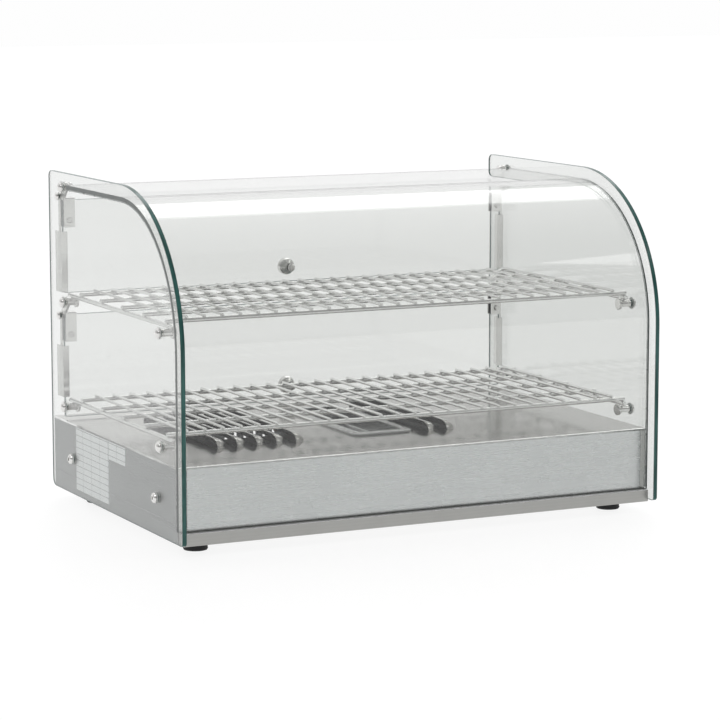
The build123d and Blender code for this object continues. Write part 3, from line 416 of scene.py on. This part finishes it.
steel_x = brushed_metal("steel_brushed_across", (0.76, 0.775, 0.785), 0.27, "X", 0.03, 0.03)
# The side panels are the same stainless sheet as the front panel; their much darker colour is painted
# shade, and their forward faces are painted lighter.
steel_y_shaded = brushed_metal("steel_brushed_deep_shaded", (0.28, 0.29, 0.295), 0.32, "Y",
                        patch=(front_flanges_lit, (0.66, 0.66, 0.65, 1.0)))
# The tray's edges and the top of its ledge are painted near-white at full strength: a painted
# highlight.
tray_steel = brushed_metal("tray_satin", (0.395, 0.395, 0.38), 0.34, "X", 0.06, edge=1.0,
                           turned=ledge_bend_highlight)
# The deck's edges, louvre lips and hem are painted near-white at full strength: a painted highlight.
deck_steel = brushed_metal("deck_polished", (0.50, 0.49, 0.475), 0.12, "Y", 0.04, 0.08, edge=1.0,
                           # painted shade: the louvre mouths are painted near-black
                           patch=(shaded_louvre_mouths, grey(0.012)), turned=deck_hem_highlight)
pan_steel = brushed_metal("pan_polished", (0.50, 0.505, 0.50), 0.18, "Y", 0.05, 0.10)
dull_steel = brushed_metal("aluminised", (0.50, 0.51, 0.52), 0.45, "X", 0.06, 0.10)
bright = polished_metal("polished_stainless", (0.76, 0.755, 0.74), 0.11)
chrome = polished_metal("chromed_wire", (0.84, 0.84, 0.83), 0.12)
zinc = polished_metal("zinc_plated", (0.60, 0.60, 0.57), 0.30, 0.4)
heater = polished_metal("heater_sheath", (0.20, 0.18, 0.165), 0.42, 0.5)
copper = polished_metal("dull_copper", (0.62, 0.34, 0.22), 0.32, 0.5)
rubber = plastic("black_rubber", (0.007, 0.007, 0.008), 0.62, 1400.0, 0.0001, 0.08)
black_gloss = plastic("black_moulding", (0.020, 0.020, 0.021), 0.32, 1600.0, 0.00003, 0.25, 0.3)
black_nylon = plastic("black_nylon", (0.028, 0.028, 0.029), 0.48)
nylon = plastic("milky_nylon", (0.72, 0.73, 0.72), 0.40, 1200.0, 0.00003, 0.1)
cream = plastic("cream_block", (0.68, 0.63, 0.50), 0.45)
sleeve = plastic("sleeving", (0.66, 0.64, 0.60), 0.65, 2400.0, 0.0001)

SIDE_BODY = (0.808, 0.818, 0.808, 1.0)
FRONT_BODY = (0.815, 0.823, 0.813, 1.0)
FLAP_BODY = (0.875, 0.882, 0.873, 1.0)
EDGE_DARK = (0.010, 0.055, 0.048, 1.0)
EDGE_LIGHT = (0.035, 0.125, 0.110, 1.0)
END_DARK = (0.22, 0.25, 0.245, 1.0)
END_LIGHT = (0.33, 0.37, 0.36, 1.0)
# painted shade: the bent pane's upper rear edge, seen against the light
REAR_CUT_SHADE = (0.010, 0.018, 0.017, 1.0)
# painted highlight: the bent pane's foot, pale like the lit ledge
FOOT_CUT_LIT = (0.66, 0.69, 0.68, 1.0)
give(glass("side_glass", side_edges, SIDE_BODY, EDGE_DARK, EDGE_LIGHT), "side_glass_left",
     "side_glass_right")
give(glass("front_glass", front_edges, FRONT_BODY, END_DARK, END_LIGHT,
           ((rear_cut_shade, REAR_CUT_SHADE), (foot_cut_lit, FOOT_CUT_LIT))), "front_glass")
give(glass("flap_glass", flap_edges, FLAP_BODY, EDGE_DARK, EDGE_LIGHT), "upper_flap_glass",
     "lower_flap_glass")
give(steel_x, "front_panel", "rear_panel", "dial_plate")
give(steel_y_shaded, "side_panel_left", "side_panel_right")
give(tray_steel, "bottom_tray")
give(deck_steel, "deck_plate")
give(pan_steel, "water_pan")
give(dull_steel, "heat_shield", "bay_divider")
give(label_material(), "side_labels")
give(bright, "domed_bolts", "shelf_pins", "pivot_pins", "keeper_screws", "side_screws", "rear_screws",
     "upper_angle_strips", "lower_angle_strips", "upper_flap_clamps", "lower_flap_clamps",
     "upper_clamp_screws", "lower_clamp_screws", "upper_flap_handle", "lower_flap_handle",
     "upper_handle_screw", "lower_handle_screw", "lamp_body")
give(chrome, "upper_shelf_grid", "upper_shelf_rails", "lower_shelf_grid", "lower_shelf_rails")
give(zinc, "foot_screws", "terminal_screws", "earth_stud", "side_nuts", "element_brackets",
     "thermostat_body", "thermostat_shaft")
give(heater, "heating_element")
give(copper, "capillary")
give(rubber, "feet", "upper_flap_pads", "lower_flap_pads")
give(black_gloss, "thermostat_knob", "rocker_housing", "rocker")
give(black_nylon, "gland_body", "gland_cap")
give(nylon, "bolt_washers", "side_washers")
give(cream, "terminal_block")
give(sleeve, "supply_wires")
give(lamp_material(), "lamp_lens")


# ---- Small visual pieces ----
def piece(name, mesh, material, body, smooth=True):
    """An object from a bmesh, riding on a body."""
    data = bpy.data.meshes.new(name)
    for face in mesh.faces:
        face.smooth = smooth
    mesh.to_mesh(data)
    mesh.free()
    data.materials.append(material)
    obj = bpy.data.objects.new(name, data)
    bpy.context.scene.collection.objects.link(obj)
    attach(obj, body)
    return obj


def weld_beads(shelf):
    """A small flattened bead on both sides of every crossing of a wire and a rod."""
    low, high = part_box(shelf + "_shelf_grid")
    centre_x = (low.x + high.x) / 2
    first_y = low.y + ROD_RADIUS
    last_y = high.y - ROD_RADIUS
    level = high.z - 2 * WIRE_RADIUS + 0.0001
    mesh = bmesh.new()
    for row in range(CROSS_RODS):
        y = first_y + (last_y - first_y) * row / (CROSS_RODS - 1)
        for i in range(WIRES):
            x = centre_x + (i - (WIRES - 1) / 2) * WIRE_PITCH
            for side in (-1, 1):
                place = Matrix.Translation((x + side * BEAD_OUT, y, level))
                squash = Matrix.Diagonal((*BEAD_SIZE, 1.0))
                bmesh.ops.create_icosphere(mesh, subdivisions=2, radius=1.0, matrix=place @ squash)
    return piece(shelf + "_weld_beads", mesh, chrome, shelf + "_shelf")


def tube_along(points, radius, sides=10):
    """A round bead that follows a list of points."""
    mesh = bmesh.new()
    rings = []
    for i, point in enumerate(points):
        ahead = points[min(i + 1, len(points) - 1)]
        behind = points[max(i - 1, 0)]
        turn = (ahead - behind).to_track_quat("Z", "X").to_matrix().to_4x4()
        ring = []
        for k in range(sides):
            angle = 2 * math.pi * k / sides
            offset = turn @ Vector((radius * math.cos(angle), radius * math.sin(angle), 0.0))
            ring.append(mesh.verts.new(point + offset))
        rings.append(ring)
    for a, b in zip(rings, rings[1:]):
        for k in range(sides):
            mesh.faces.new((a[k], a[(k + 1) % sides], b[(k + 1) % sides], b[k]))
    mesh.faces.new(reversed(rings[0]))
    mesh.faces.new(rings[-1])
    return mesh


def sealant_beads(material):
    """Thin clear bead in the inner corner where the bent glass meets each side glass."""
    low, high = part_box("front_glass")
    inner = FRONT_BEND - GLASS
    centre_y = low.y + FRONT_BEND
    centre_z = high.z - FRONT_BEND
    path = [(centre_y - inner, low.z + 0.001)]
    for step in range(25):
        angle = math.radians(180.0 - 90.0 * step / 24)
        path.append((centre_y + inner * math.cos(angle), centre_z + inner * math.sin(angle)))
    path.append((high.y - 0.001, centre_z + inner))
    for name, x in (("left", low.x + 0.0004), ("right", high.x - 0.0004)):
        points = [Vector((x, y, z)) for y, z in path]
        piece("sealant_" + name, tube_along(points, SEALANT_RADIUS), material, "case")


def thin_box(mesh, centre, size, turn):
    """A small box turned about the depth axis, added to a mesh."""
    place = Matrix.Translation(centre) @ Matrix.Rotation(turn, 4, "Y")
    bmesh.ops.create_cube(mesh, size=1.0, matrix=place @ Matrix.Diagonal((*size, 1.0)))


def dial_marks(ink):
    """Long and short strokes around the knob, and a plain number at each long one."""
    low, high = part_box("dial_plate")
    centre = (low + high) / 2
    face = high.y + DIAL_INK
    marks = bmesh.new()
    numbers = bmesh.new()
    for half_step in range(2 * len(DIAL_NUMBERS) - 1):
        angle = math.radians(half_step * DIAL_STEP / 2)
        long = half_step % 2 == 0
        length = LONG_MARK if long else SHORT_MARK
        out = MARK_START + length / 2
        place = (centre.x - out * math.sin(angle), face, centre.z + out * math.cos(angle))
        thin_box(marks, place, (MARK_WIDTH, 0.00012, length), -angle)
        if not long:
            continue
        curve = bpy.data.curves.new("number", "FONT")
        curve.body = DIAL_NUMBERS[half_step // 2]
        curve.size = NUMBER_SIZE
        curve.extrude = 0.00005
        curve.align_x = "CENTER"
        curve.align_y = "CENTER"
        writing = bpy.data.objects.new("number", curve)
        shape = bpy.data.meshes.new_from_object(writing)
        place = (centre.x - NUMBER_RADIUS * math.sin(angle), face,
                 centre.z + NUMBER_RADIUS * math.cos(angle))
        shape.transform(Matrix.Translation(place) @ Matrix.Rotation(math.pi, 4, "Z")
                        @ Matrix.Rotation(math.pi / 2, 4, "X"))
        numbers.from_mesh(shape)
        bpy.data.objects.remove(writing)
        bpy.data.curves.remove(curve)
        bpy.data.meshes.remove(shape)
    piece("dial_marks", marks, ink, "case", smooth=False)
    piece("dial_numbers", numbers, ink, "case", smooth=False)


def knob_pointer(paint):
    """White stroke let into the upper half of the knob's grip bar."""
    low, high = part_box("thermostat_knob")
    centre = (low + high) / 2
    mesh = bmesh.new()
    thin_box(mesh, (centre.x, high.y + 0.00002, centre.z + 0.0095), (0.0012, 0.00016, 0.0120), 0.0)
    piece("knob_pointer", mesh, paint, "knob", smooth=False)


weld_beads("upper")
weld_beads("lower")
sealant_beads(sealant_material())
dial_marks(plastic("dial_ink", (0.03, 0.03, 0.035), 0.5))
knob_pointer(plastic("pointer_paint", (0.80, 0.80, 0.78), 0.45, edge=0.05))


# ---- Parts that lie on the glass stand a hair off it, so that both surfaces show ----
for name in ("bolt_washers", "side_washers", "shelf_pins", "pivot_pins", "upper_angle_strips",
             "lower_angle_strips"):
    shrink = nodes[name].modifiers.new("stand_off", "DISPLACE")
    shrink.strength = -STAND_OFF
    shrink.mid_level = 0.0


# ---- Studio ----
def studio_floor():
    data = bpy.data.meshes.new("studio_floor")
    size = 14.0
    data.from_pydata([(-size, -size, -0.0002), (size, -size, -0.0002), (size, size, -0.0002),
                      (-size, size, -0.0002)], [], [(0, 1, 2, 3)])
    data.materials.append(floor_material())
    floor = bpy.data.objects.new("studio_floor", data)
    bpy.context.scene.collection.objects.link(floor)


def softbox(name, place, target, width, height, power, colour=(1.0, 1.0, 1.0)):
    data = bpy.data.lights.new(name, "AREA")
    data.shape = "RECTANGLE"
    data.size = width
    data.size_y = height
    data.energy = power
    data.color = colour
    lamp = bpy.data.objects.new(name, data)
    lamp.location = place
    aim = Vector(target) - Vector(place)
    lamp.rotation_euler = aim.to_track_quat("-Z", "Y").to_euler()
    bpy.context.scene.collection.objects.link(lamp)
    return lamp


def studio_world():
    """White behind the case, greyer on the camera's side and to the left, brighter overhead, so
    that metal has something to show."""
    world = bpy.data.worlds.new("studio")
    world.use_nodes = True
    tree = world.node_tree
    tree.nodes.clear()
    output = tree.nodes.new("ShaderNodeOutputWorld")
    background = tree.nodes.new("ShaderNodeBackground")
    coords = tree.nodes.new("ShaderNodeTexCoord")
    split = tree.nodes.new("ShaderNodeSeparateXYZ")
    tree.links.new(coords.outputs["Generated"], split.inputs[0])
    levels = []
    for letter, start, stop, low, high in (("Y", -0.6, 0.45, WORLD_BEFORE, WORLD_BEHIND),
                                           ("X", -0.95, -0.35, WORLD_LEFT, 1.0),
                                           ("Z", 0.45, 0.80, 1.0, WORLD_ABOVE)):
        ramp = tree.nodes.new("ShaderNodeMapRange")
        ramp.interpolation_type = "SMOOTHSTEP"
        ramp.inputs[1].default_value = start
        ramp.inputs[2].default_value = stop
        ramp.inputs[3].default_value = low
        ramp.inputs[4].default_value = high
        tree.links.new(split.outputs[letter], ramp.inputs[0])
        levels.append(ramp.outputs[0])
    strength = levels[0]
    for level in levels[1:]:
        product = tree.nodes.new("ShaderNodeMath")
        product.operation = "MULTIPLY"
        tree.links.new(strength, product.inputs[0])
        tree.links.new(level, product.inputs[1])
        strength = product.outputs[0]
    tree.links.new(strength, background.inputs["Strength"])
    background.inputs["Color"].default_value = (1.0, 1.0, 1.0, 1.0)
    tree.links.new(background.outputs[0], output.inputs["Surface"])
    bpy.context.scene.world = world


def camera():
    data = bpy.data.cameras.new("camera")
    data.lens = CAMERA_LENS
    data.sensor_width = CAMERA_SENSOR
    data.clip_start = 0.05
    data.clip_end = 100.0
    obj = bpy.data.objects.new("camera", data)
    obj.location = CAMERA_PLACE
    obj.rotation_euler = (math.radians(90.0 - CAMERA_ELEVATION), 0.0, math.radians(CAMERA_AZIMUTH))
    bpy.context.scene.collection.objects.link(obj)
    bpy.context.scene.camera = obj


studio_floor()
studio_world()
softbox("key", (-1.6, -1.4, 2.4), (0.0, 0.0, 0.1), 1.4, 1.1, 9.0)
softbox("fill", (1.8, -1.2, 1.6), (0.0, 0.0, 0.15), 1.0, 0.8, 4.0)
softbox("top", (1.2, 1.4, 2.0), (1.2, -0.1, 0.1), 2.2, 1.0, 11.0)
camera()

view = bpy.context.scene.view_settings
view.view_transform = "Standard"
